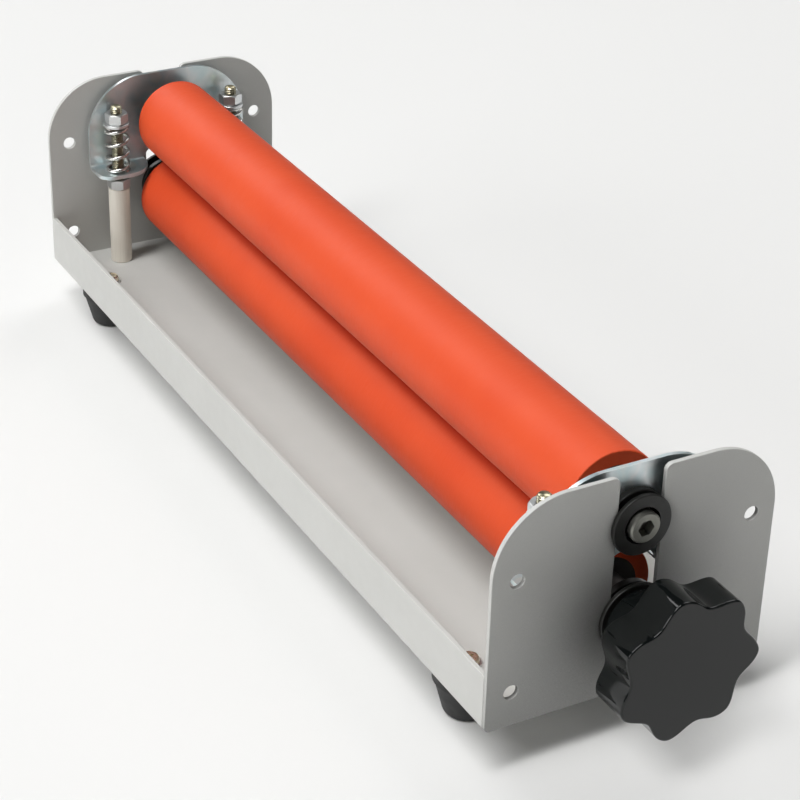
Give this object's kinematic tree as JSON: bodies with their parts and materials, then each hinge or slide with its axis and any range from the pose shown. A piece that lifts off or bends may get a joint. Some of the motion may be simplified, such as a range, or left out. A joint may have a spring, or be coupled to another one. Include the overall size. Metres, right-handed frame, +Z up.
{
  "type": "cold roll laminator",
  "caption": "Tabletop cold roll laminator: two rubber rollers in an open steel frame, a lobed hand knob and spring-loaded pressure brackets.",
  "frame": {"origin": "on the table plane, under the middle of the machine between the end plates", "axes": "+X along the rollers towards the knob, +Y to the back, +Z up"},
  "size_m": [0.4754, 0.122, 0.1149],
  "materials": {
    "frame_paint": "satin",
    "silicone_rubber": "satin",
    "roller_steel": "satin",
    "blue_zinc": "gloss",
    "bright_zinc": "gloss",
    "yellow_zinc": "satin",
    "post_coating": "satin",
    "bushing_plastic": "satin",
    "screw_steel": "satin",
    "knob_plastic": "gloss",
    "insert_brass": "satin",
    "foot_rubber": "matte",
    "spring_steel": "gloss"
  },
  "bodies": {
    "frame": {"base_tray": "frame_paint", "end_plate_left": "frame_paint", "end_plate_right": "frame_paint", "lower_bushing_left": "bushing_plastic", "lower_bushing_right": "bushing_plastic", "foot_inserts": "insert_brass", "foot_washers": "bright_zinc", "foot_screws": "yellow_zinc", "stud_front_left": "yellow_zinc", "stud_back_left": "yellow_zinc", "stud_front_right": "yellow_zinc", "stud_back_right": "yellow_zinc", "post_front_left": "post_coating", "post_back_left": "post_coating", "post_front_right": "post_coating", "post_back_right": "post_coating", "jam_nut_front_left": "bright_zinc", "jam_nut_back_left": "bright_zinc", "jam_nut_front_right": "bright_zinc", "jam_nut_back_right": "bright_zinc", "spring_front_left": "spring_steel", "spring_back_left": "spring_steel", "spring_front_right": "spring_steel", "spring_back_right": "spring_steel", "foot_front_left": "foot_rubber", "foot_back_left": "foot_rubber", "foot_front_right": "foot_rubber", "foot_back_right": "foot_rubber"},
    "lower_roller": {"lower_roller_shaft": "roller_steel", "lower_roller_sleeve": "silicone_rubber", "lower_end_screw": "screw_steel", "knob": "knob_plastic", "knob_bush": "insert_brass", "knob_set_screw": "screw_steel"},
    "carriage": {"pressure_bracket_left": "blue_zinc", "pressure_bracket_right": "blue_zinc", "upper_bushing_left": "bushing_plastic", "upper_bushing_right": "bushing_plastic"},
    "upper_roller": {"upper_roller_shaft": "roller_steel", "upper_roller_sleeve": "silicone_rubber", "upper_end_screw_left": "screw_steel", "upper_end_screw_right": "screw_steel"},
    "washer_front_left": {"washer_front_left": "bright_zinc"},
    "nut_front_left": {"pressure_nut_front_left": "bright_zinc"},
    "washer_back_left": {"washer_back_left": "bright_zinc"},
    "nut_back_left": {"pressure_nut_back_left": "bright_zinc"},
    "washer_front_right": {"washer_front_right": "bright_zinc"},
    "nut_front_right": {"pressure_nut_front_right": "bright_zinc"},
    "washer_back_right": {"washer_back_right": "bright_zinc"},
    "nut_back_right": {"pressure_nut_back_right": "bright_zinc"}
  },
  "joints": [
    {"name": "lower_roller_turn", "type": "hinge", "parent": "frame", "child": "lower_roller", "pos_m": [0, 0, 0.0531], "axis": [1, 0, 0], "continuous": true},
    {"name": "carriage_lift", "type": "slide", "parent": "frame", "child": "carriage", "axis": [0, 0, 1], "range_m": [0, 0.006], "deforming": ["spring_front_left", "spring_back_left", "spring_front_right", "spring_back_right"]},
    {"name": "upper_roller_turn", "type": "hinge", "parent": "carriage", "child": "upper_roller", "pos_m": [0, 0, 0.0932], "axis": [1, 0, 0], "continuous": true},
    {"name": "washer_rise_front_left", "type": "slide", "parent": "frame", "child": "washer_front_left", "axis": [0, 0, 1], "range_m": [-0.002, 0.003], "deforming": ["spring_front_left"]},
    {"name": "nut_turn_front_left", "type": "hinge", "parent": "washer_front_left", "child": "nut_front_left", "pos_m": [-0.2005, -0.0308, 0.0961], "axis": [0, 0, 1], "range_deg": [-720, 1080]},
    {"name": "washer_rise_back_left", "type": "slide", "parent": "frame", "child": "washer_back_left", "axis": [0, 0, 1], "range_m": [-0.002, 0.003], "deforming": ["spring_back_left"]},
    {"name": "nut_turn_back_left", "type": "hinge", "parent": "washer_back_left", "child": "nut_back_left", "pos_m": [-0.2005, 0.0308, 0.0961], "axis": [0, 0, 1], "range_deg": [-720, 1080]},
    {"name": "washer_rise_front_right", "type": "slide", "parent": "frame", "child": "washer_front_right", "axis": [0, 0, 1], "range_m": [-0.002, 0.003], "deforming": ["spring_front_right"]},
    {"name": "nut_turn_front_right", "type": "hinge", "parent": "washer_front_right", "child": "nut_front_right", "pos_m": [0.2005, -0.0308, 0.0961], "axis": [0, 0, 1], "range_deg": [-720, 1080]},
    {"name": "washer_rise_back_right", "type": "slide", "parent": "frame", "child": "washer_back_right", "axis": [0, 0, 1], "range_m": [-0.002, 0.003], "deforming": ["spring_back_right"]},
    {"name": "nut_turn_back_right", "type": "hinge", "parent": "washer_back_right", "child": "nut_back_right", "pos_m": [0.2005, 0.0308, 0.0961], "axis": [0, 0, 1], "range_deg": [-720, 1080]}
  ],
  "couplings": [
    {"joint": "upper_roller_turn", "follows": "lower_roller_turn", "ratio": -1},
    {"joint": "nut_turn_front_left", "follows": "washer_rise_front_left", "rad_per_m": 6283.2},
    {"joint": "nut_turn_back_left", "follows": "washer_rise_back_left", "rad_per_m": 6283.2},
    {"joint": "nut_turn_front_right", "follows": "washer_rise_front_right", "rad_per_m": 6283.2},
    {"joint": "nut_turn_back_right", "follows": "washer_rise_back_right", "rad_per_m": 6283.2}
  ]
}
